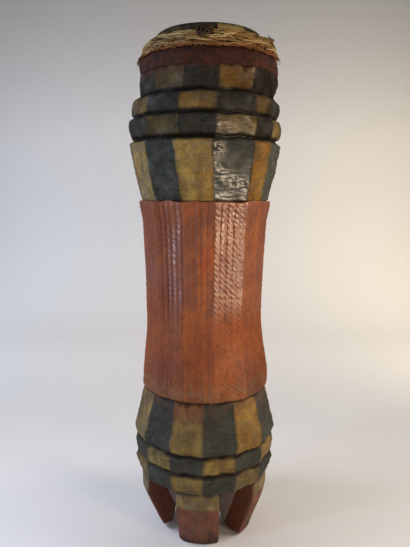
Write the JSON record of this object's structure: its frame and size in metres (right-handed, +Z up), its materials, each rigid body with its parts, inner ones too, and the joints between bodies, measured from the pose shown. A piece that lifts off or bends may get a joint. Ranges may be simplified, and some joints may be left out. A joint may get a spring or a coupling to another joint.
{
  "type": "ceremonial drum",
  "caption": "Tall hollow ceremonial drum carved from one log, faceted bands and ribbed red waist over wedge feet, with a hide head bound on by plant fibre.",
  "frame": {"origin": "centre of the footprint at floor level, under the feet", "axes": "+Z up along the log, -Y towards the side that faces the viewer"},
  "size_m": [0.3171, 0.3172, 1.0575],
  "materials": {
    "painted_wood": "hand-painted carved wood, worn satin, earth red with black and ochre blocks",
    "hide": "stretched rawhide stained dark red and black, dull",
    "plant_fibre": "dry twisted plant fibre, matt, partly stained red",
    "dark_cord": "dark stained fibre knot, matt"
  },
  "bodies": {
    "root": {"drum_body": "painted_wood", "drumhead_hide": "hide", "fibre_binding": "plant_fibre", "binding_knot": "dark_cord"}
  },
  "joints": []
}
